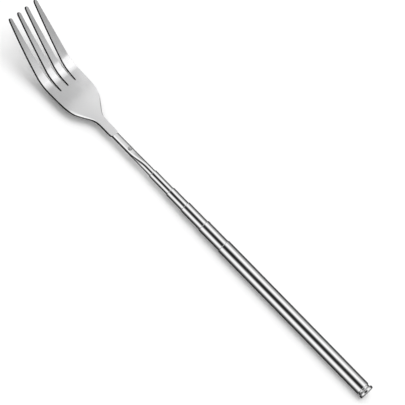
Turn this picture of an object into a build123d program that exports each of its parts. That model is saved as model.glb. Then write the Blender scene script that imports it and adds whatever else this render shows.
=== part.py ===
from build123d import *
from math import asin, cos, degrees, radians, sin
import os

# Telescopic roasting fork, closed. Millimetres. The shaft lies along X: the end plug's
# face is at x = 0, the tines point to +X and the hollow side of the bowl faces +Z.

# Shaft: tube 1 is the thinnest, the handle is the thickest
handle_radius = 3.25
tube_wall = 0.18
stage_gap = 0.13
stages = 5
handle_mouth = 88.0

# Length of each closed tube that shows in front of the next thicker one
tube_shows = {5: 12.3, 4: 11.4, 3: 9.2, 2: 10.8}
round_shows = 3.7
press_run = 9.5
flat_length = 10.0

# Rolled-in mouth of a tube: the ring that stops the bush of the tube inside it
lip_length = 1.0
lip_gap = 0.03
mouth_face = 0.03

# Bush pressed in the rear end of a tube, and the spring sleeve that sits on its waist
spigot_length = 3.0
collar_length = 0.8
waist_length = 2.6
collar_gap = 0.03
bush_wall = 0.45
nest_gap = 0.2
spring_thickness = 0.12
spring_bow = 0.06
spring_gap = 0.02
spring_end_gap = 0.1
spring_split = 0.6
waist_gap = 0.04

# Plug in the tail of the handle
flange_lip = 0.25
flange_length = 1.5
flange_round = 0.5
groove_length = 1.0
tail_round = 0.4
plug_wall = 0.6
plug_end = 8.5

# Sheet metal of the head, measured from the shoulder that meets tube 1
sheet = 1.0
head_gap = 0.05
tang_length = 10.0
tang_width = 2.2
tang_gap = 0.02
tang_side_gap = 0.1
shoulder_round = 1.0
neck_width = 4.45
neck_length = 6.5
bowl_points = [(10.3, 3.0), (14.2, 6.2), (18.1, 9.1), (23.2, 10.35)]
bowl_width = 21.2
widest_x = 35.0
rise_start = 8.0
rise_end = 26.0
rise_height = 0.36
bend_x = 32.2
bend_radius = 20.0
bend_angle = 24.0
tine_curve = 430.0
dish_radius = 150.0
dish_angle = 5.5

# Tines and the slots between them, measured from the same shoulder
tip_x = 65.3
tip_width = 1.55
inner_tip_y = 2.65
outer_tip_y = 8.6
slot_root_x = 29.05
slot_width = 0.9
slot_pitch = 5.05

# Rivet through the pressed end of tube 1
rivet_inset = 1.1
rivet_radius = 0.6
rivet_head_radius = 1.0
rivet_head_height = 0.35

# Sizes that follow from the ones above
stage_step = tube_wall + stage_gap
handle_bore = handle_radius - tube_wall
mouth_round = stage_step - lip_gap - mouth_face
bush_length = 2 * collar_length + waist_length
waist_depth = spring_gap + spring_bow + spring_thickness + waist_gap
flange_radius = handle_radius + flange_lip
neck_radius = handle_radius - tail_round
handle_tail = flange_length + groove_length
round_end = handle_mouth + sum(tube_shows.values()) + round_shows
press_end = round_end + press_run
tube_1_end = press_end + flat_length
press_height = sheet + 2 * tang_gap + 2 * tube_wall
press_width = tang_width + 2 * tang_side_gap + press_height
head_x = tube_1_end + head_gap
rivet_x = rivet_inset - tang_length
tip_centre_x = tip_x - tip_width / 2


# Outer radius of a stage: 1 to 5 are the tubes, 6 is the handle
def stage_radius(number):
    return handle_radius - (stages + 1 - number) * stage_step


def stage_bore(number):
    return stage_radius(number) - tube_wall


# Front end of tubes 2 to 5
def stage_mouth(number):
    return handle_mouth + sum(tube_shows[thicker] for thicker in range(number, stages + 1))


# Rear end of a closed tube: the bushes stand in a row in front of the plug
def stage_rear(number):
    places = stages - number
    return plug_end + nest_gap + bush_length + places * (spigot_length + nest_gap + bush_length)


# Outline of a round tube with a rolled-in mouth, drawn from its axis outward
def mouth_outline(radius, rear, mouth, lip_radius):
    bore = radius - tube_wall
    lip_back = mouth - lip_length
    Line((rear, bore), (rear, radius))
    Line((rear, radius), (mouth - mouth_round, radius))
    RadiusArc((mouth - mouth_round, radius), (mouth, radius - mouth_round), mouth_round)
    Line((mouth, radius - mouth_round), (mouth, lip_radius))
    Line((mouth, lip_radius), (lip_back, lip_radius))
    Line((lip_back, lip_radius), (lip_back, bore))
    Line((lip_back, bore), (rear, bore))


os.makedirs("parts", exist_ok=True)

# Tubes 2 to 5
for number in range(2, stages + 1):
    with BuildPart() as tube:
        with BuildSketch(Plane.XZ):
            with BuildLine():
                lip_radius = stage_radius(number - 1) + lip_gap
                mouth_outline(stage_radius(number), stage_rear(number), stage_mouth(number), lip_radius)
            make_face()
        revolve(axis=Axis.X)
    tube.part.label = f"tube_{number}"
    export_step(tube.part, f"parts/tube_{number}.step")

# Tube 1: round, then pressed flat over the tang
with BuildPart() as tube_1:
    with BuildSketch(Plane.YZ.offset(stage_rear(1))):
        Circle(stage_radius(1))
    extrude(amount=round_end - stage_rear(1))
    with BuildSketch(Plane.YZ.offset(round_end)):
        Circle(stage_radius(1))
    with BuildSketch(Plane.YZ.offset(press_end)):
        SlotOverall(press_width, press_height)
    loft()
    with BuildSketch(Plane.YZ.offset(press_end)):
        SlotOverall(press_width, press_height)
    extrude(amount=tube_1_end - press_end)
    with BuildSketch(Plane.YZ.offset(stage_rear(1))):
        Circle(stage_bore(1))
    extrude(amount=round_end - stage_rear(1), mode=Mode.SUBTRACT)
    with BuildSketch(Plane.YZ.offset(round_end)):
        Circle(stage_bore(1))
    with BuildSketch(Plane.YZ.offset(press_end)):
        SlotOverall(press_width - 2 * tube_wall, press_height - 2 * tube_wall)
    loft(mode=Mode.SUBTRACT)
    with BuildSketch(Plane.YZ.offset(press_end)):
        SlotOverall(press_width - 2 * tube_wall, press_height - 2 * tube_wall)
    extrude(amount=tube_1_end - press_end, mode=Mode.SUBTRACT)
    with BuildSketch(Plane((head_x, 0, 0))):
        with Locations((rivet_x, 0)):
            Circle(rivet_radius)
    extrude(amount=press_height, both=True, mode=Mode.SUBTRACT)
tube_1.part.label = "tube_1"
export_step(tube_1.part, "parts/tube_1.step")

# Handle tube: rolled in over the neck of the plug at the tail, mouth at the front
with BuildPart() as handle_tube:
    with BuildSketch(Plane.XZ):
        with BuildLine():
            lip_radius = stage_radius(stages) + lip_gap
            lip_back = handle_mouth - lip_length
            roll_x = handle_tail + tail_round
            RadiusArc((handle_tail, neck_radius), (roll_x, handle_radius), tail_round)
            Line((roll_x, handle_radius), (handle_mouth - mouth_round, handle_radius))
            mouth_edge = (handle_mouth, handle_radius - mouth_round)
            RadiusArc((handle_mouth - mouth_round, handle_radius), mouth_edge, mouth_round)
            Line(mouth_edge, (handle_mouth, lip_radius))
            Line((handle_mouth, lip_radius), (lip_back, lip_radius))
            Line((lip_back, lip_radius), (lip_back, handle_bore))
            Line((lip_back, handle_bore), (roll_x, handle_bore))
            inner_round = tail_round - tube_wall
            RadiusArc((roll_x, handle_bore), (roll_x - inner_round, neck_radius), -inner_round)
            Line((roll_x - inner_round, neck_radius), (handle_tail, neck_radius))
        make_face()
    revolve(axis=Axis.X)
handle_tube.part.label = "handle_tube"
export_step(handle_tube.part, "parts/handle_tube.step")

# Plug: rounded flange, neck in the rolled tail, hollow spigot pressed in the handle's bore
with BuildPart() as end_plug:
    with BuildSketch(Plane.XZ):
        with BuildLine():
            Polyline((flange_round, 0), (0, 0), (0, flange_radius - flange_round))
            flange_top = (flange_round, flange_radius)
            RadiusArc((0, flange_radius - flange_round), flange_top, flange_round)
            flange_back = (flange_length - flange_round, flange_radius)
            Line(flange_top, flange_back)
            flange_edge = (flange_length, flange_radius - flange_round)
            RadiusArc(flange_back, flange_edge, flange_round)
            step_x = handle_tail + tail_round
            Polyline(
                flange_edge,
                (flange_length, neck_radius),
                (step_x, neck_radius),
                (step_x, handle_bore),
                (plug_end, handle_bore),
                (plug_end, handle_bore - plug_wall),
                (handle_tail, handle_bore - plug_wall),
                (handle_tail, 0),
                (flange_round, 0),
            )
        make_face()
    revolve(axis=Axis.X)
end_plug.part.label = "end_plug"
export_step(end_plug.part, "parts/end_plug.step")

# Stop bushes: spigot in the tube, two collars that run in the next bore, waist between
for number in range(1, stages + 1):
    with BuildPart() as stop_bush:
        rear = stage_rear(number)
        collar_radius = stage_bore(number + 1) - collar_gap
        waist_radius = stage_bore(number + 1) - waist_depth
        bush_bore = stage_bore(number) - bush_wall
        with BuildSketch(Plane.XZ):
            with BuildLine():
                Polyline(
                    (rear - bush_length, bush_bore),
                    (rear - bush_length, collar_radius),
                    (rear - bush_length + collar_length, collar_radius),
                    (rear - bush_length + collar_length, waist_radius),
                    (rear - collar_length, waist_radius),
                    (rear - collar_length, collar_radius),
                    (rear, collar_radius),
                    (rear, stage_bore(number)),
                    (rear + spigot_length, stage_bore(number)),
                    (rear + spigot_length, bush_bore),
                    (rear - bush_length, bush_bore),
                )
            make_face()
        revolve(axis=Axis.X)
    stop_bush.part.label = f"stop_bush_{number}"
    export_step(stop_bush.part, f"parts/stop_bush_{number}.step")

# Spring sleeves: thin, split along the top, bowed out so the middle rubs on the bore
for number in range(1, stages + 1):
    with BuildPart() as spring:
        back = stage_rear(number) - bush_length + collar_length + spring_end_gap
        front = stage_rear(number) - collar_length - spring_end_gap
        middle = (back + front) / 2
        crown = stage_bore(number + 1) - spring_gap
        edge = crown - spring_bow
        with BuildSketch(Plane.XZ):
            with BuildLine():
                ThreePointArc((back, edge), (middle, crown), (front, edge))
                Line((front, edge), (front, edge - spring_thickness))
                inner_crown = (middle, crown - spring_thickness)
                inner_front = (front, edge - spring_thickness)
                ThreePointArc(inner_front, inner_crown, (back, edge - spring_thickness))
                Line((back, edge - spring_thickness), (back, edge))
            make_face()
        revolve(axis=Axis.X)
        with Locations((middle, 0, crown)):
            Box(front - back + 1, spring_split, crown, mode=Mode.SUBTRACT)
    spring.part.label = f"friction_spring_{number}"
    export_step(spring.part, f"parts/friction_spring_{number}.step")


# One face of the bent sheet, at a height above its middle. The middle runs level from the
# tang, rises a little to the bowl, then bends up into the long, slightly curved tines.
def sheet_face(height):
    half_run = (rise_end - rise_start) / 2
    rise_radius = (half_run**2 + (rise_height / 2) ** 2) / rise_height
    rise_angle = degrees(asin(half_run / rise_radius))
    bend_end_x = bend_x + bend_radius * sin(radians(bend_angle))
    end_sine = sin(radians(bend_angle)) + (tip_x + 1 - bend_end_x) / tine_curve
    tine_angle = degrees(asin(end_sine)) - bend_angle
    tang = Line((-tang_length, height), (rise_start, height))
    up = JernArc(tang @ 1, (1, 0), rise_radius - height, rise_angle)
    level = JernArc(up @ 1, up % 1, rise_radius + height, -rise_angle)
    floor = Line(level @ 1, (bend_x, height + rise_height))
    bend = JernArc(floor @ 1, (1, 0), bend_radius - height, bend_angle)
    tines = JernArc(bend @ 1, bend % 1, tine_curve - height, tine_angle)
    return tines @ 1


# Slot between two tines, from its round root out past the tips
def slot_outline(root_y, low_tip, high_tip):
    half = slot_width / 2
    root_x = slot_root_x + half
    past_x = tip_x + 5
    Line((root_x, root_y + half), (tip_centre_x, high_tip))
    Polyline((tip_centre_x, high_tip), (past_x, high_tip), (past_x, low_tip), (tip_centre_x, low_tip))
    Line((tip_centre_x, low_tip), (root_x, root_y - half))
    ThreePointArc((root_x, root_y - half), (slot_root_x, root_y), (root_x, root_y + half))


# Head: tang, neck, dished bowl and four tines from one sheet
with BuildPart() as fork_head:
    tilt = radians(dish_angle)
    side_origin = (head_x, -dish_radius * sin(tilt), dish_radius * (1 - cos(tilt)))
    side_normal = (0, -cos(tilt), sin(tilt))
    with BuildSketch(Plane(side_origin, x_dir=(1, 0, 0), z_dir=side_normal)):
        with BuildLine():
            low_end = sheet_face(-sheet / 2)
            high_end = sheet_face(sheet / 2)
            Line(low_end, high_end)
            Line((-tang_length, -sheet / 2), (-tang_length, sheet / 2))
        make_face()
    revolve(axis=Axis((0, 0, dish_radius), (1, 0, 0)), revolution_arc=2 * dish_angle)
    with BuildSketch(Plane((head_x, 0, -5)), mode=Mode.PRIVATE) as outline:
        with BuildLine():
            Polyline((-tang_length, 0), (-tang_length, tang_width / 2), (0, tang_width / 2))
            Line((0, tang_width / 2), (0, neck_width / 2 - shoulder_round))
            neck_corner = (shoulder_round, neck_width / 2)
            RadiusArc((0, neck_width / 2 - shoulder_round), neck_corner, shoulder_round)
            Line(neck_corner, (neck_length, neck_width / 2))
            bowl_side = [(neck_length, neck_width / 2)] + bowl_points + [(widest_x, bowl_width / 2)]
            Spline(bowl_side, tangents=[(1, 0), (1, 0)])
            outer_edge = (tip_centre_x, outer_tip_y + tip_width / 2)
            TangentArc((widest_x, bowl_width / 2), outer_edge, tangent=(1, 0))
            Polyline(outer_edge, (tip_centre_x, 0), (-tang_length, 0))
        make_face()
        mirror(about=Plane.XZ)
        for tip_y in (-outer_tip_y, -inner_tip_y, inner_tip_y, outer_tip_y):
            with Locations((tip_centre_x, tip_y)):
                Circle(tip_width / 2)
        inner_low = inner_tip_y - tip_width / 2
        inner_high = inner_tip_y + tip_width / 2
        outer_low = outer_tip_y - tip_width / 2
        with BuildLine():
            slot_outline(0, -inner_low, inner_low)
        make_face(mode=Mode.SUBTRACT)
        with BuildLine():
            slot_outline(slot_pitch, inner_high, outer_low)
        make_face(mode=Mode.SUBTRACT)
        with BuildLine():
            slot_outline(-slot_pitch, -outer_low, -inner_high)
        make_face(mode=Mode.SUBTRACT)
        with Locations((rivet_x, 0)):
            Circle(rivet_radius, mode=Mode.SUBTRACT)
    extrude(outline.sketch, amount=40, mode=Mode.INTERSECT)
fork_head.part.label = "fork_head"
export_step(fork_head.part, "parts/fork_head.step")

# Rivet: shank with two low domed heads
with BuildPart() as head_rivet:
    half_grip = press_height / 2
    with BuildSketch(Plane((head_x + rivet_x, 0, 0), x_dir=(1, 0, 0), z_dir=(0, -1, 0))):
        with BuildLine():
            top = half_grip + rivet_head_height
            dome_radius = (rivet_head_radius**2 + rivet_head_height**2) / (2 * rivet_head_height)
            Line((0, -top), (0, top))
            RadiusArc((0, top), (rivet_head_radius, half_grip), dome_radius)
            Line((rivet_head_radius, half_grip), (rivet_radius, half_grip))
            Line((rivet_radius, half_grip), (rivet_radius, -half_grip))
            Line((rivet_radius, -half_grip), (rivet_head_radius, -half_grip))
            RadiusArc((rivet_head_radius, -half_grip), (0, -top), dome_radius)
        make_face()
    revolve(axis=Axis((head_x + rivet_x, 0, 0), (0, 0, 1)))
head_rivet.part.label = "head_rivet"
export_step(head_rivet.part, "parts/head_rivet.step")
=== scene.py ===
import bmesh
import bpy
import math
from mathutils import Matrix, Vector


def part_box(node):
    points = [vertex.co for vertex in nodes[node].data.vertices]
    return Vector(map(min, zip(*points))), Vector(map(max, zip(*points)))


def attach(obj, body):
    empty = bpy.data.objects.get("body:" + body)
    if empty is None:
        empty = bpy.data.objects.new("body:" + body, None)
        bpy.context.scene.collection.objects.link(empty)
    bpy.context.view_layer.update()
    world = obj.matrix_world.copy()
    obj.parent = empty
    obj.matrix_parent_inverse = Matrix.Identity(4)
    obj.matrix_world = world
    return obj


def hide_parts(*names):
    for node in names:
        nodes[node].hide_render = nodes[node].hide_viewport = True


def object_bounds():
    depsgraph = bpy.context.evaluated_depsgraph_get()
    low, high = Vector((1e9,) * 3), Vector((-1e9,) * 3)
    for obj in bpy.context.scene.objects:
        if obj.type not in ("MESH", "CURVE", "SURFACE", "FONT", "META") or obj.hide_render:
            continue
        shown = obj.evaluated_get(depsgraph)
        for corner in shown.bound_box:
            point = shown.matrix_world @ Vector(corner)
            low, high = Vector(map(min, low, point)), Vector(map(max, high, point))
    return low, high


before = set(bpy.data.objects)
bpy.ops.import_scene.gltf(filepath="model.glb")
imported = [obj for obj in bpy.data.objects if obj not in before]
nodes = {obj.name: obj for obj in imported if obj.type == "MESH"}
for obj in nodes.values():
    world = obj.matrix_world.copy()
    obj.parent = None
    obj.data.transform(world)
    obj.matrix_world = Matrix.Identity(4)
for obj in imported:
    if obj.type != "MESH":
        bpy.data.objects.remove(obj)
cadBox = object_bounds()
mm = 0.001
print("frame loaded:", len(nodes), "nodes")

cameraSet = {
    "toCamera": (-0.1, 0.64, 0.76),  # from the fork to the camera
    "aim": (0.10706, -0.00105, 0.00901),
    "shaftAngle": 134.37,  # turn of the shaft in the frame, from the right, in degrees
    "distance": 2.4,
    "frameWidth": 0.1728,
    "sensor": 36.0,
    "clip": (0.05, 50.0),
}


def addCamera(cfg):
    back = Vector(cfg["toCamera"]).normalized()
    shaft = Vector((1, 0, 0))
    shaft = (shaft - shaft.dot(back) * back).normalized()
    side = back.cross(shaft)
    turn = math.radians(cfg["shaftAngle"])
    right = math.cos(turn) * shaft - math.sin(turn) * side
    up = math.sin(turn) * shaft + math.cos(turn) * side
    data = bpy.data.cameras.new("camera")
    data.sensor_width = cfg["sensor"]
    data.lens = cfg["sensor"] * cfg["distance"] / cfg["frameWidth"]
    data.clip_start, data.clip_end = cfg["clip"]
    camera = bpy.data.objects.new("camera", data)
    place = Matrix((right, up, back)).transposed().to_4x4()
    place.translation = Vector(cfg["aim"]) + back * cfg["distance"]
    camera.matrix_world = place
    bpy.context.collection.objects.link(camera)
    bpy.context.scene.camera = camera


def addNode(tree, kind, inputs=None, **settings):
    node = tree.nodes.new(kind)
    for key, value in settings.items():
        setattr(node, key, value)
    for key, value in (inputs or {}).items():
        if isinstance(value, bpy.types.NodeSocket):
            tree.links.new(value, node.inputs[key])
        else:
            node.inputs[key].default_value = value
    return node


def addMath(tree, operation, first, second=0.0, third=0.0, clamp=False):
    inputs = {0: first, 1: second, 2: third}
    return addNode(tree, "ShaderNodeMath", inputs, operation=operation, use_clamp=clamp).outputs[0]


def addRamp(tree, factor, stops, ease="LINEAR"):
    node = addNode(tree, "ShaderNodeValToRGB", {"Fac": factor})
    ramp = node.color_ramp
    ramp.interpolation = ease
    while len(ramp.elements) < len(stops):
        ramp.elements.new(0.5)
    for element, (place, value) in zip(ramp.elements, sorted(stops)):
        element.position = place
        element.color = value if isinstance(value, tuple) else (value, value, value, 1)
    return node.outputs[0]


# Brightness of the studio by its angle across the shaft: 0 is straight up, + is the near side.
studioSet = {
    "across": [
        (-180, 0.02), (-110, 0.03), (-90, 0.06), (-77, 0.1), (-64, 0.16), (-54, 0.42), (-48, 0.55),
        (-42, 0.6), (-35, 0.68), (-28, 0.98), (-20, 1.14), (-6, 1.14), (4, 0.92), (13, 0.45),
        (22, 0.07), (30, 0.02), (50, 0.02), (58, 0.07), (67, 0.45), (76, 0.92), (87, 1.14),
        (104, 1.08), (113, 0.9), (122, 0.55), (131, 0.27), (140, 0.1), (158, 0.05), (180, 0.02),
    ],
    # where the strips fade in and out along the shaft, and the brightness by height beyond them
    "stripsAlong": (-0.64, -0.52, 0.34, 0.52),
    "height": [
        (-1, 0.2), (-0.3, 0.1), (-0.06, 0.14), (0.04, 0.62), (0.16, 0.95), (0.24, 0.8), (0.31, 0.2),
        (0.38, 0.22), (0.46, 0.62), (0.6, 0.6), (0.78, 0.95), (1, 1.05),
    ],
    # a softbox behind the head and a grey card beside it: each fades in, then out again
    "box": {"along": (-0.5, -0.42, -0.2, 0.12), "across": (-0.85, -0.76, -0.5, -0.35), "power": 0.52},
    "flag": {"along": (-0.8, -0.7, -0.54, -0.46), "across": (-0.76, -0.54, -0.2, 0.0), "share": 0.27},
    "fill": 0.92,  # even light on the floor
}


def addWorld(cfg):
    world = bpy.data.worlds.new("studio")
    bpy.context.scene.world = world
    world.use_nodes = True
    tree = world.node_tree
    tree.nodes.clear()
    way = addNode(tree, "ShaderNodeTexCoord").outputs["Generated"]
    split = addNode(tree, "ShaderNodeSeparateXYZ", {0: way})
    along, near, high = split.outputs
    angle = addMath(tree, "ARCTAN2", near, high)
    share = addMath(tree, "ADD", addMath(tree, "DIVIDE", angle, 2 * math.pi), 0.5, clamp=True)
    stops = [((degrees + 180) / 360, value) for degrees, value in cfg["across"]]
    strips = addRamp(tree, share, stops)

    def window(value, edges):
        start, full, fading, end = edges
        rise = addNode(tree, "ShaderNodeMapRange", {"Value": value, 1: start, 2: full})
        fall = addNode(tree, "ShaderNodeMapRange", {"Value": value, 1: end, 2: fading})
        rise.interpolation_type = fall.interpolation_type = "SMOOTHSTEP"
        return addMath(tree, "MULTIPLY", rise.outputs[0], fall.outputs[0])

    def card(place):
        return addMath(tree, "MULTIPLY", window(along, place["along"]), window(near, place["across"]))

    box = addMath(tree, "MULTIPLY", card(cfg["box"]), cfg["box"]["power"])
    flag = addMath(tree, "MULTIPLY", card(cfg["flag"]), cfg["flag"]["share"])
    rise = addMath(tree, "MULTIPLY_ADD", high, 0.5, 0.5)
    beyond = addRamp(tree, rise, [((height + 1) / 2, value) for height, value in cfg["height"]])
    middle = window(along, cfg["stripsAlong"])
    striped = addMath(tree, "MULTIPLY", strips, middle)
    plain = addMath(tree, "MULTIPLY", beyond, addMath(tree, "SUBTRACT", 1.0, middle))
    total = addMath(tree, "ADD", addMath(tree, "ADD", striped, plain), box)
    total = addMath(tree, "MULTIPLY", total, addMath(tree, "SUBTRACT", 1.0, flag))
    path = addNode(tree, "ShaderNodeLightPath")
    seen = path.outputs["Is Camera Ray"]
    glossy = path.outputs["Is Glossy Ray"]
    mirrored = addMath(tree, "MULTIPLY", total, glossy)
    even = addMath(tree, "MULTIPLY", addMath(tree, "SUBTRACT", 1.0, glossy), cfg["fill"])
    level = addMath(tree, "MAXIMUM", addMath(tree, "ADD", mirrored, even), seen)
    shade = addNode(tree, "ShaderNodeBackground", {"Color": (1, 1, 1, 1), "Strength": level})
    out = addNode(tree, "ShaderNodeOutputWorld")
    tree.links.new(shade.outputs[0], out.inputs[0])


keySet = {
    "from": (0.08, -0.16, 0.98),
    "power": 0.7,
    "softness": 42.0,  # width of the light as seen from the fork, in degrees
}


def addKey(cfg):
    data = bpy.data.lights.new("keyLight", "SUN")
    data.energy = cfg["power"]
    data.angle = math.radians(cfg["softness"])
    key = bpy.data.objects.new("keyLight", data)
    key.rotation_mode = "QUATERNION"
    key.rotation_quaternion = Vector(cfg["from"]).to_track_quat("Z", "Y")
    key.visible_glossy = False
    bpy.context.collection.objects.link(key)


# A small softbox over the neck that only shows in the metal.
neckSet = {"at": (0.174, -0.16, 0.19), "aim": (0.149, 0, 0), "size": (0.06, 0.055), "power": 0.0018}


def addNeckLight(cfg):
    data = bpy.data.lights.new("neckLight", "AREA")
    data.shape = "RECTANGLE"
    data.size, data.size_y = cfg["size"]
    data.energy = cfg["power"]
    light = bpy.data.objects.new("neckLight", data)
    out = (Vector(cfg["at"]) - Vector(cfg["aim"])).normalized()
    across = out.cross(Vector((1, 0, 0))).normalized()
    place = Matrix((across.cross(out), across, out)).transposed().to_4x4()
    place.translation = Vector(cfg["at"])
    light.matrix_world = place
    light.visible_diffuse = False
    light.visible_camera = False
    bpy.context.collection.objects.link(light)


floorSet = {"size": 12.0, "color": (0.97, 0.97, 0.97, 1), "roughness": 0.9}


def addFloor(cfg):
    material = bpy.data.materials.new("floorPaper")
    material.use_nodes = True
    shader = material.node_tree.nodes["Principled BSDF"]
    shader.inputs["Base Color"].default_value = cfg["color"]
    shader.inputs["Roughness"].default_value = cfg["roughness"]
    shader.inputs["Specular IOR Level"].default_value = 0.0
    bm = bmesh.new()
    bmesh.ops.create_grid(bm, x_segments=2, y_segments=2, size=cfg["size"] / 2)
    bmesh.ops.translate(bm, verts=bm.verts, vec=(0, 0, cadBox[0].z))
    mesh = bpy.data.meshes.new("floor")
    bm.to_mesh(mesh)
    bm.free()
    mesh.materials.append(material)
    floor = bpy.data.objects.new("floor", mesh)
    floor.visible_glossy = False
    bpy.context.collection.objects.link(floor)


addCamera(cameraSet)
addWorld(studioSet)
addKey(keySet)
addNeckLight(neckSet)
addFloor(floorSet)
bpy.context.scene.view_settings.view_transform = "Standard"
print("camera and light ready")


metalSets = {
    "headSteel": {
        "color": (0.8, 0.8, 0.805), "light": (0.85, 0.85, 0.855), "rough": (0.1, 0.17),
        "grain": (900, 9000, 9000), "grainDepth": 0.004, "smudge": 90, "scratch": 0.35,
        # painted shade: dark colour laid on the side walls, fading in between these two facings
        "wallShadeColor": (0.09, 0.09, 0.093), "wallShadeFacing": (0.6, 0.85),
    },
    "tubeSteel": {
        "color": (0.84, 0.84, 0.845), "light": (0.9, 0.9, 0.905), "rough": (0.05, 0.13),
        "grain": (150, 14000, 14000), "grainDepth": 0.002, "smudge": 120, "scratch": 0.25,
    },
    "plugSteel": {
        "color": (0.8, 0.8, 0.805), "light": (0.88, 0.88, 0.885), "rough": (0.08, 0.18),
        "grain": (12000, 700, 700), "grainDepth": 0.003, "smudge": 260, "scratch": 0.3,
    },
    "rivetSteel": {
        "color": (0.48, 0.48, 0.485), "light": (0.62, 0.62, 0.625), "rough": (0.18, 0.3),
        "grain": (5000, 5000, 5000), "grainDepth": 0.004, "smudge": 600, "scratch": 0.3,
    },
    "bushBrass": {
        "color": (0.72, 0.53, 0.22), "light": (0.83, 0.66, 0.34), "rough": (0.2, 0.36),
        "grain": (16000, 600, 600), "grainDepth": 0.006, "smudge": 500, "scratch": 0.2,
    },
    "springBronze": {
        "color": (0.6, 0.36, 0.17), "light": (0.72, 0.48, 0.27), "rough": (0.22, 0.4),
        "grain": (600, 9000, 9000), "grainDepth": 0.004, "smudge": 500, "scratch": 0.25,
    },
}
# Tube 1 gets painted shade along the sides of its pressed end, and the painted shade starts between these
# two x.
metalSets["pressedSteel"] = {
    **metalSets["tubeSteel"], "wallShadeColor": (0.06, 0.06, 0.062), "wallShadeFacing": (0.74, 0.9),
    "wallShadeAlong": (137 * mm, 143 * mm),
}

surfaceSet = {
    "grainDetail": 3.0, "smudgeDetail": 5.0, "hairDetail": 1.0,
    "smudgeRange": (0.38, 0.66), "smudgeShare": 0.5,  # how far a smudge goes to the lighter tone
    "hairTurns": (0.35, -0.9), "hairTilt": (0.2, 0.1), "hairStretch": (260, 5200, 5200),
    "hairSlice": (0.69, 0.72, 0.75), "hairRough": 0.2,
    "wornRange": (0.51, 0.6),  # from flat to rubbed, on sharp edges
    "bump": 0.25,
}


# Polished metal: a fine grain along or around the piece, faint smudges and hairline scratches, and for
# some finishes painted shade on the side walls.
def makeMetal(name, cfg, surface):
    material = bpy.data.materials.new(name)
    material.use_nodes = True
    tree = material.node_tree
    shader = tree.nodes["Principled BSDF"]
    shader.inputs["Metallic"].default_value = 1.0
    texture = addNode(tree, "ShaderNodeTexCoord")
    place = texture.outputs["Object"]

    def noise(vector, scale, detail):
        settings = {"Vector": vector, "Scale": scale, "Detail": detail}
        return addNode(tree, "ShaderNodeTexNoise", settings).outputs[0]

    stretch = addNode(tree, "ShaderNodeMapping", {"Vector": place, "Scale": cfg["grain"]})
    grain = noise(stretch.outputs[0], 1.0, surface["grainDetail"])
    plain, smudged = surface["smudgeRange"]
    smudge = noise(place, cfg["smudge"], surface["smudgeDetail"])
    patch = addRamp(tree, smudge, [(plain, 0.0), (smudged, 1.0)], "EASE")

    # hairlines: thin slices of two stretched noises that cross
    lines = []
    for turn in surface["hairTurns"]:
        slant = addNode(tree, "ShaderNodeMapping", {"Vector": place, "Scale": surface["hairStretch"]})
        slant.inputs["Rotation"].default_value = (*surface["hairTilt"], turn)
        hair = noise(slant.outputs[0], 1.0, surface["hairDetail"])
        start, middle, end = surface["hairSlice"]
        lines.append(addRamp(tree, hair, [(start, 0.0), (middle, 1.0), (end, 0.0)]))
    hairlines = addMath(tree, "MULTIPLY", addMath(tree, "MAXIMUM", lines[0], lines[1]), cfg["scratch"])

    # smudges are lighter, and so are edges that get rubbed
    flat, rubbed = surface["wornRange"]
    wear = addNode(tree, "ShaderNodeNewGeometry").outputs["Pointiness"]
    worn = addRamp(tree, wear, [(flat, 0.0), (rubbed, 1.0)])
    share = addMath(tree, "MAXIMUM", addMath(tree, "MULTIPLY", patch, surface["smudgeShare"]), worn)
    mix = addNode(tree, "ShaderNodeMix", {0: share}, data_type="RGBA")
    mix.inputs[6].default_value = (*cfg["color"], 1)
    mix.inputs[7].default_value = (*cfg["light"], 1)
    tone = mix.outputs[2]
    if "wallShadeColor" in cfg:  # painted shade: side walls get a darker colour than the faces that look up and down
        facing = addNode(tree, "ShaderNodeSeparateXYZ", {0: texture.outputs["Normal"]}).outputs[2]
        steep, level = cfg["wallShadeFacing"]
        # painted shade mask: 1 on steep side walls, 0 on faces that look up or down
        wall = addRamp(tree, addMath(tree, "ABSOLUTE", facing), [(steep, 1.0), (level, 0.0)])
        if "wallShadeAlong" in cfg:
            start, end = cfg["wallShadeAlong"]
            along = addNode(tree, "ShaderNodeSeparateXYZ", {0: place}).outputs[0]
            fade = addNode(tree, "ShaderNodeMapRange", {"Value": along, 1: start, 2: end})
            wall = addMath(tree, "MULTIPLY", wall, fade.outputs[0])
        # painted shade mixed into the colour on the side walls
        wallShadeMix = addNode(tree, "ShaderNodeMix", {0: wall}, data_type="RGBA")
        tree.links.new(tone, wallShadeMix.inputs[6])
        wallShadeMix.inputs[7].default_value = (*cfg["wallShadeColor"], 1)
        tone = wallShadeMix.outputs[2]
    tree.links.new(tone, shader.inputs["Base Color"])
    low, high = cfg["rough"]
    rough = addNode(tree, "ShaderNodeMapRange", {"Value": patch, 3: low, 4: high}).outputs[0]
    scratched = addMath(tree, "MULTIPLY", hairlines, surface["hairRough"])
    rough = addMath(tree, "ADD", rough, scratched, clamp=True)
    tree.links.new(rough, shader.inputs["Roughness"])
    height = addMath(tree, "SUBTRACT", grain, hairlines)
    bump = addNode(tree, "ShaderNodeBump", {"Height": height, "Strength": surface["bump"]})
    bump.inputs["Distance"].default_value = cfg["grainDepth"] * mm
    tree.links.new(bump.outputs[0], shader.inputs["Normal"])
    return material


finishes = {name: makeMetal(name, cfg, surfaceSet) for name, cfg in metalSets.items()}
print("finishes ready:", len(finishes))


def finishPiece(name, bm, body, nodeNames, finish):
    bmesh.ops.recalc_face_normals(bm, faces=bm.faces)
    for face in bm.faces:
        face.smooth = True
    mesh = bpy.data.meshes.new(name)
    bm.to_mesh(mesh)
    bm.free()
    mesh.materials.append(finishes[finish])
    piece = bpy.data.objects.new(name, mesh)
    bpy.context.collection.objects.link(piece)
    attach(piece, body)
    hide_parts(*nodeNames)
    print("made", name, len(mesh.polygons), "faces")
    return piece


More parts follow.
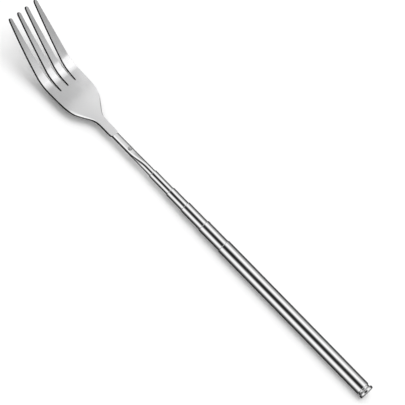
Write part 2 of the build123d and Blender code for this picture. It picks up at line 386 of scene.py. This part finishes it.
# Points of a round corner, from one angle to another, in the plane of length and radius.
def corner(centre, radius, start, end, steps):
    angles = [math.radians(start + (end - start) * step / steps) for step in range(steps + 1)]
    return [(centre[0] + radius * math.cos(a), centre[1] + radius * math.sin(a)) for a in angles]


# Keeps long flat runs flat: adds a point just inside each end of a run.
def steady(outline, inset=0.15 * mm, longRun=0.8 * mm):
    points = []
    for index, start in enumerate(outline):
        end = outline[(index + 1) % len(outline)]
        run = Vector((end[0] - start[0], end[1] - start[1]))
        points.append(start)
        if run.length > longRun:
            step = run.normalized() * inset
            points.append((start[0] + step.x, start[1] + step.y))
            points.append((end[0] - step.x, end[1] - step.y))
    return points


# Turns an outline of (length, radius) points about the shaft's axis.
def spinOutline(outline, steps, closed=True):
    bm = bmesh.new()
    ring = [bm.verts.new((x, 0, radius)) for x, radius in outline]
    for index in range(len(ring) - (0 if closed else 1)):
        bm.edges.new((ring[index], ring[(index + 1) % len(ring)]))
    bmesh.ops.spin(
        bm, geom=bm.verts[:] + bm.edges[:], cent=(0, 0, 0), axis=(1, 0, 0), dvec=(0, 0, 0),
        angle=2 * math.pi, steps=steps, use_merge=True, use_duplicate=False,
    )
    bmesh.ops.remove_doubles(bm, verts=bm.verts, dist=0.001 * mm)
    return bm


shaftSet = {
    "turns": 128,  # faces round a tube
    "wall": 0.18 * mm,
    "lipLength": 1.0 * mm,
    "lipGap": 0.03 * mm,
    "mouthRound": 0.25 * mm,
    "tailRound": 0.4 * mm,
    "edge": 0.05 * mm,  # small roundings on cut edges
    "lipEdgeShare": 0.8,  # most of the mouth's flat face that the lip's rounding may take
    "edgeFaces": 3, "roundFaces": 8, "insideFaces": 6,  # faces along the roundings
}


def stageRadius(node):
    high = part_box(node)[1]
    return high.z if node == "tube_1" else high.y  # tube 1 is wider where it is pressed


# Points of the rounding on the outside of a tube's mouth.
def mouthCorner(mouth, radius, cfg):
    roll = cfg["mouthRound"]
    return corner((mouth - roll, radius - roll), roll, 90, 0, cfg["roundFaces"])


# Tube with a rolled-in mouth that closes on the next thinner tube.
def makeTube(name, node, thinner, body, cfg):
    low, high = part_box(node)
    radius = high.y
    bore = radius - cfg["wall"]
    lip = stageRadius(thinner) + cfg["lipGap"]
    rear, mouth = low.x, high.x
    edge = cfg["edge"]
    lipEdge = min(edge, (radius - cfg["mouthRound"] - lip) * cfg["lipEdgeShare"])
    outline = corner((rear + edge, radius - edge), edge, 180, 90, cfg["edgeFaces"])
    outline += mouthCorner(mouth, radius, cfg)
    outline += corner((mouth - lipEdge, lip + lipEdge), lipEdge, 0, -90, cfg["edgeFaces"])
    outline += [(mouth - cfg["lipLength"], lip), (mouth - cfg["lipLength"], bore), (rear, bore)]
    bm = spinOutline(steady(outline), cfg["turns"])
    return finishPiece(name, bm, body, [node], "tubeSteel")


for number in (2, 3, 4, 5):
    makeTube(f"tube{number}Shell", f"tube_{number}", f"tube_{number - 1}", f"tube_body_{number}", shaftSet)


# The handle is a tube as well, rolled in at its tail over the neck of the plug.
def makeHandle(cfg):
    low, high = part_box("handle_tube")
    radius = high.y
    bore = radius - cfg["wall"]
    lip = stageRadius("tube_5") + cfg["lipGap"]
    tail, mouth = low.x, high.x
    roll = cfg["tailRound"]
    outline = corner((tail + roll, radius - roll), roll, 180, 90, cfg["roundFaces"])
    outline += mouthCorner(mouth, radius, cfg)
    outline += [(mouth, lip), (mouth - cfg["lipLength"], lip), (mouth - cfg["lipLength"], bore)]
    outline += corner((tail + roll, radius - roll), roll - cfg["wall"], 90, 180, cfg["insideFaces"])
    bm = spinOutline(steady(outline), cfg["turns"])
    return finishPiece("handleShell", bm, "handle_body", ["handle_tube"], "tubeSteel")


makeHandle(shaftSet)

pressSet = {
    "roundEnd": 19.5 * mm,  # lengths back from the pressed end
    "pressEnd": 10.0 * mm,
    "flatHalf": 1.2 * mm,
    "sheetRoom": 1.04 * mm,
    "rings": 26, "flatRings": 5,
    "crown": 0.04 * mm,  # extra height of the outside over the pressed wall
    "square": 3.0,  # outside shape: 2 is an oval, more has flatter faces and steeper sides
    "corner": 45,  # the inside is flat above this many degrees, and round below
}


# Point of an oval with flattened faces, at an angle from its wide axis.
def squareOval(angle, wide, tall, square):
    power = 2 / square
    across = math.copysign(abs(math.cos(angle)) ** power, math.cos(angle))
    upward = math.copysign(abs(math.sin(angle)) ** power, math.sin(angle))
    return wide * across, tall * upward


# Tube 1: round at the rear, pressed flat over the head's tang at the front.
def makePressedTube(shaft, press):
    low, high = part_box("tube_1")
    rear, front, radius = low.x, high.x, high.z
    bore = radius - shaft["wall"]
    edge = shaft["edge"]
    roundEnd = front - press["roundEnd"]
    pressEnd = front - press["pressEnd"]
    cuts = [roundEnd + (pressEnd - roundEnd) * ring / press["rings"] for ring in range(press["rings"] + 1)]
    step = (front - pressEnd) / press["flatRings"]
    cuts += [pressEnd + step * ring for ring in range(1, press["flatRings"])]
    outer = corner((rear + edge, radius - edge), edge, 180, 90, shaft["edgeFaces"])
    outer += [(x, radius) for x in cuts]
    outer += corner((front - edge, radius - edge), edge, 90, 0, shaft["edgeFaces"])
    inner = [(front, bore)] + [(x, bore) for x in reversed(cuts)] + [(rear, bore)]
    bm = spinOutline(steady(outer + inner), shaft["turns"])
    for vert in bm.verts:
        share = (vert.co.x - roundEnd) / (pressEnd - roundEnd)
        if share <= 0:
            continue
        share = min(share, 1.0)
        share = share * share * (3 - 2 * share)  # eases in and out
        reach = math.hypot(vert.co.y, vert.co.z)
        depth = radius - reach  # 0 on the outside, the wall's thickness inside
        half = press["sheetRoom"] / 2 + shaft["wall"] - depth
        angle = math.atan2(vert.co.z, vert.co.y)
        climb = math.degrees(abs(angle))
        if depth < shaft["wall"] / 2:
            y, z = squareOval(angle, press["flatHalf"] + half, half + press["crown"], press["square"])
        elif press["corner"] <= climb <= 180 - press["corner"]:
            y = press["flatHalf"] * (90 - climb) / (90 - press["corner"])
            z = math.copysign(half, angle)
        else:
            side = math.copysign(1, math.cos(angle))
            bend = math.asin(math.sin(angle)) * 90 / press["corner"]
            y = side * (press["flatHalf"] + half * math.cos(bend))
            z = half * math.sin(bend)
        vert.co.y += (y - vert.co.y) * share
        vert.co.z += (z - vert.co.z) * share
    return finishPiece("tube1Shell", bm, "head_body", ["tube_1"], "pressedSteel")


makePressedTube(shaftSet, pressSet)

plugSet = {
    "flangeLength": 1.5 * mm, "flangeRound": 0.5 * mm, "neck": 2.85 * mm, "step": 2.9 * mm,
    "spigotWall": 0.6 * mm, "hollow": 2.5 * mm,
    "faceDish": 0.06 * mm,
    "dishProfile": [(1.0, 0.0), (0.8, 0.45), (0.15, 0.786)],  # shares of the depth and of the radius
    "flangeFaces": 8,
}


# Plug: round-edged flange with a faintly dished face, then the neck and the hollow spigot.
def makePlug(shaft, cfg):
    low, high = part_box("end_plug")
    flange, end = high.y, high.x
    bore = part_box("handle_tube")[1].y - shaft["wall"]
    roll = cfg["flangeRound"]
    tail = low.x
    inside = bore - cfg["spigotWall"]
    outline = [(tail + deep * cfg["faceDish"], out * flange) for deep, out in cfg["dishProfile"]]
    outline += corner((tail + roll, flange - roll), roll, 180, 90, cfg["flangeFaces"])
    outline += corner((tail + cfg["flangeLength"] - roll, flange - roll), roll, 90, 0, cfg["flangeFaces"])
    outline += [(cfg["flangeLength"], cfg["neck"]), (cfg["step"], cfg["neck"]), (cfg["step"], bore)]
    outline += [(end, bore), (end, inside), (cfg["hollow"], inside), (cfg["hollow"], 0)]
    bm = spinOutline(outline, shaft["turns"], closed=False)
    return finishPiece("plugShell", bm, "handle_body", ["end_plug"], "plugSteel")


makePlug(shaftSet, plugSet)


# The head is one sheet, cut to shape, dished and bent. Its lengths start at the shoulder.
headSet = {
    "thick": 1.0 * mm,
    "tangLength": 10.0 * mm, "tangHalf": 1.1 * mm,
    "shoulderRound": 1.0 * mm, "neckHalf": 2.225 * mm, "neckLength": 6.5 * mm,
    "bowlSide": [(6.5, 2.225), (10.3, 3.0), (14.2, 6.2), (18.1, 9.1), (23.2, 10.35), (35.0, 10.6)],
    "tipX": 65.3 * mm, "tipWidth": 1.55 * mm, "innerTip": 2.65 * mm, "outerTip": 8.6 * mm,
    "slotRoot": 29.05 * mm, "slotHalf": 0.45 * mm, "slotPitch": 5.05 * mm,
    "riseStart": 8.0 * mm, "riseEnd": 26.0 * mm, "rise": 0.36 * mm,
    "bendStart": 32.2 * mm, "bendRadius": 20.0 * mm, "bendAngle": 24.0, "tineCurve": 430.0 * mm,
    "dishRadius": 150.0 * mm,
    # rows of the grid that no other size places, then the faces in each stretch from tang to tips
    "tangRow": -0.05 * mm, "shoulderRows": (0.14 * mm, 0.5 * mm), "bowlRows": (20.0 * mm, 28.6 * mm),
    "bendRow": 41.0 * mm, "rowBeforeTip": 0.9 * mm,
    "rowFaces": (6, 1, 1, 1, 1, 5, 14, 9, 2, 3, 10, 18, 2),
    "tineColumns": 4, "slotColumns": 4,  # faces across a tine and across a slot
    # how far the rows at a slot's root and at a tip follow its rounding, from its end inwards
    "rootFollow": (1.0, 0.5, 0.25, 0.1), "tipFollow": (1.0, 0.6, 0.25),
    "edgeRound": 0.1 * mm, "edgeFaces": 2, "edgeAngle": 50, "smoothing": 2,
    # the edge is pressed thinner round the bowl's shoulders
    "coinStart": 9.5 * mm, "coinEnd": 20.0 * mm, "coinShare": 0.33,
}


# Height of the sheet's middle along the head, x from the shoulder.
def sheetHeight(x, cfg):
    start, end, rise = cfg["riseStart"], cfg["riseEnd"], cfg["rise"]
    if x <= start:
        return 0.0
    half = (end - start) / 2
    radius = (half**2 + (rise / 2) ** 2) / rise
    if x <= start + half:
        return radius - math.sqrt(radius**2 - (x - start) ** 2)
    if x <= end:
        return rise - radius + math.sqrt(radius**2 - (end - x) ** 2)
    if x <= cfg["bendStart"]:
        return rise
    bend = math.radians(cfg["bendAngle"])
    bendEnd = cfg["bendStart"] + cfg["bendRadius"] * math.sin(bend)
    if x <= bendEnd:
        return rise + cfg["bendRadius"] - math.sqrt(cfg["bendRadius"] ** 2 - (x - cfg["bendStart"]) ** 2)
    foot = rise + cfg["bendRadius"] * (1 - math.cos(bend))
    sine = math.sin(bend) + (x - bendEnd) / cfg["tineCurve"]
    return foot + cfg["tineCurve"] * (math.cos(bend) - math.sqrt(1 - sine**2))


# Smooth curve through the given points, flat at both ends.
def smoothThrough(points, x):
    slopes = [0.0]
    for before, after in zip(points, points[2:]):
        slopes.append((after[1] - before[1]) / (after[0] - before[0]))
    slopes.append(0.0)
    for index, (start, end) in enumerate(zip(points, points[1:])):
        if x <= end[0]:
            run = end[0] - start[0]
            t = (x - start[0]) / run
            return (
                (2 * t**3 - 3 * t**2 + 1) * start[1] + (t**3 - 2 * t**2 + t) * run * slopes[index]
                + (3 * t**2 - 2 * t**3) * end[1] + (t**3 - t**2) * run * slopes[index + 1]
            )
    return points[-1][1]


# Half width of the head's outline at x from the shoulder.
def outerEdge(x, cfg):
    roll = cfg["shoulderRound"]
    if x < 0:
        return cfg["tangHalf"]
    if x < roll:
        return cfg["neckHalf"] - roll + math.sqrt(roll**2 - (roll - x) ** 2)
    if x < cfg["neckLength"]:
        return cfg["neckHalf"]
    side = [(px * mm, py * mm) for px, py in cfg["bowlSide"]]
    if x < side[-1][0]:
        return smoothThrough(side, x)
    tipCentre = cfg["tipX"] - cfg["tipWidth"] / 2
    drop = side[-1][1] - cfg["outerTip"] - cfg["tipWidth"] / 2
    return side[-1][1] - drop * ((x - side[-1][0]) / (tipCentre - side[-1][0])) ** 2


# The four edges on one side of the middle: inner tine's two edges, outer tine's two edges.
def tineEdges(x, cfg):
    root = cfg["slotRoot"] + cfg["slotHalf"]
    tipCentre = cfg["tipX"] - cfg["tipWidth"] / 2
    half = cfg["tipWidth"] / 2
    rootEdges = [cfg["slotHalf"], cfg["slotPitch"] - cfg["slotHalf"], cfg["slotPitch"] + cfg["slotHalf"]]
    tipEdges = [cfg["innerTip"] - half, cfg["innerTip"] + half, cfg["outerTip"] - half]
    if x <= root:
        share = outerEdge(x, cfg) / outerEdge(root, cfg)
        return [edge * share for edge in rootEdges] + [outerEdge(x, cfg)]
    share = (x - root) / (tipCentre - root)
    edges = [start + (end - start) * share for start, end in zip(rootEdges, tipEdges)]
    return edges + [outerEdge(x, cfg)]


# Places of the grid's rows along the head, from the end of the tang to the tips.
def headRows(cfg):
    root = cfg["slotRoot"] + cfg["slotHalf"]
    tipCentre = cfg["tipX"] - cfg["tipWidth"] / 2
    ends = [cfg["tangRow"], 0.0, *cfg["shoulderRows"], cfg["shoulderRound"], cfg["neckLength"]]
    ends += [*cfg["bowlRows"], root, cfg["bendStart"], cfg["bendRow"]]
    ends += [tipCentre - cfg["rowBeforeTip"], tipCentre]
    stations = [-cfg["tangLength"]]
    for end, count in zip(ends, cfg["rowFaces"]):
        start = stations[-1]
        stations += [start + (end - start) * (step + 1) / count for step in range(count)]
    return stations, min(range(len(stations)), key=lambda row: abs(stations[row] - root))


# Gives the flat sheet its thickness, its rounded edges and its smoothness.
def thickenSheet(head, cfg):
    head.vertex_groups.new(name="thick")
    sheet = head.modifiers.new("thickness", "SOLIDIFY")
    sheet.vertex_group = "thick"
    sheet.thickness = cfg["thick"]
    sheet.offset = 0.0
    sheet.use_even_offset = True
    rounding = head.modifiers.new("edges", "BEVEL")
    rounding.width = cfg["edgeRound"]
    rounding.segments = cfg["edgeFaces"]
    rounding.limit_method = "ANGLE"
    rounding.angle_limit = math.radians(cfg["edgeAngle"])
    smooth = head.modifiers.new("smoothing", "SUBSURF")
    smooth.levels = smooth.render_levels = cfg["smoothing"]


# The head starts as a grid: bands across it are tines and slots in turn, and the slots are cut out.
def makeHead(cfg):
    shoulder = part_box("fork_head")[0].x + cfg["tangLength"]
    stations, rootRow = headRows(cfg)
    tines, slots = cfg["tineColumns"], cfg["slotColumns"]
    bands = [tines, slots, tines, slots, tines, slots, tines]
    columns = sum(bands)
    bm = bmesh.new()
    thickness = bm.verts.layers.deform.verify()
    bmesh.ops.create_grid(bm, x_segments=len(stations) - 1, y_segments=columns, size=1.0)
    slotFaces = []
    rowOf, columnOf = {}, {}
    for vert in bm.verts:
        rowOf[vert] = round((vert.co.x + 1) / 2 * (len(stations) - 1))
        columnOf[vert] = round((vert.co.y + 1) / 2 * columns)

    def bandOf(column):
        low = 0
        for band, count in enumerate(bands):
            if column <= low + count:
                return band, (column - low) / count
            low += count

    for face in bm.faces:
        row = min(rowOf[vert] for vert in face.verts)
        band = bandOf(min(columnOf[vert] for vert in face.verts) + 1)[0]
        if row >= rootRow and band % 2 == 1:
            slotFaces.append(face)

    for vert in bm.verts:
        row, column = rowOf[vert], columnOf[vert]
        x = stations[row]
        near = tineEdges(x, cfg)
        rails = [-edge for edge in reversed(near)] + near
        band, share = bandOf(column)
        low, high = rails[band], rails[band + 1]
        across = 2 * share - 1
        if band % 2 == 1:
            across = math.sin(across * math.pi / 2)  # even steps round the slot's root
        y = (low + high) / 2 + across * (high - low) / 2
        bulge = math.sqrt(max(0.0, 1 - across**2))
        toRoot = rootRow - row
        toTip = len(stations) - 1 - row
        if band % 2 == 1 and 0 <= toRoot < len(cfg["rootFollow"]):
            x -= cfg["slotHalf"] * bulge * cfg["rootFollow"][toRoot]
        if band % 2 == 0 and toTip < len(cfg["tipFollow"]):
            x += cfg["tipWidth"] / 2 * bulge * cfg["tipFollow"][toTip]
        reach = cfg["dishRadius"] - sheetHeight(x, cfg)
        vert.co = (shoulder + x, y, cfg["dishRadius"] - math.sqrt(reach**2 - y**2))
        vert[thickness][0] = 1.0
        coin = (x - cfg["coinStart"]) / (cfg["coinEnd"] - cfg["coinStart"])
        if column in (0, columns) and 0 < coin < 1:
            vert[thickness][0] -= cfg["coinShare"] * math.sqrt(math.sin(math.pi * coin))
    bmesh.ops.delete(bm, geom=slotFaces, context="FACES")
    head = finishPiece("headSheet", bm, "head_body", ["fork_head"], "headSteel")
    thickenSheet(head, cfg)
    return head


makeHead(headSet)

rivetSet = {
    "turns": 48,
    # down from the head's top and out from its middle, in mm: dimple, rim, side of the head, shank
    "profile": [
        (0.24, 0.0), (0.216, 0.25), (0.048, 0.5), (0.0, 0.7), (0.0875, 0.84), (0.245, 1.0),
        (0.35, 0.98), (0.35, 0.6),
    ],
    "smoothing": 1,
}


# Rivet: a shank with two low heads, each with a punched dimple.
def makeRivet(cfg):
    low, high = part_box("head_rivet")
    centre = (low + high) / 2
    side = [(high.z - down * mm, out * mm) for down, out in cfg["profile"]]
    outline = side + [(-z, radius) for z, radius in reversed(side)]
    bm = spinOutline(outline, cfg["turns"], closed=False)
    upright = Matrix.Rotation(math.radians(-90), 4, "Y")
    bmesh.ops.transform(bm, matrix=Matrix.Translation((centre.x, 0, 0)) @ upright, verts=bm.verts)
    rivet = finishPiece("rivetHead", bm, "head_body", ["head_rivet"], "rivetSteel")
    smooth = rivet.modifiers.new("smoothing", "SUBSURF")
    smooth.levels = smooth.render_levels = cfg["smoothing"]
    return rivet


makeRivet(rivetSet)


# The bushes and springs inside keep their own shapes and get their finish.
insideFinishes = {"stop_bush": "bushBrass", "friction_spring": "springBronze"}
for number in (1, 2, 3, 4, 5):
    for kind, finish in insideFinishes.items():
        mesh = nodes[f"{kind}_{number}"].data
        mesh.materials.clear()
        mesh.materials.append(finishes[finish])
print("inner parts finished")
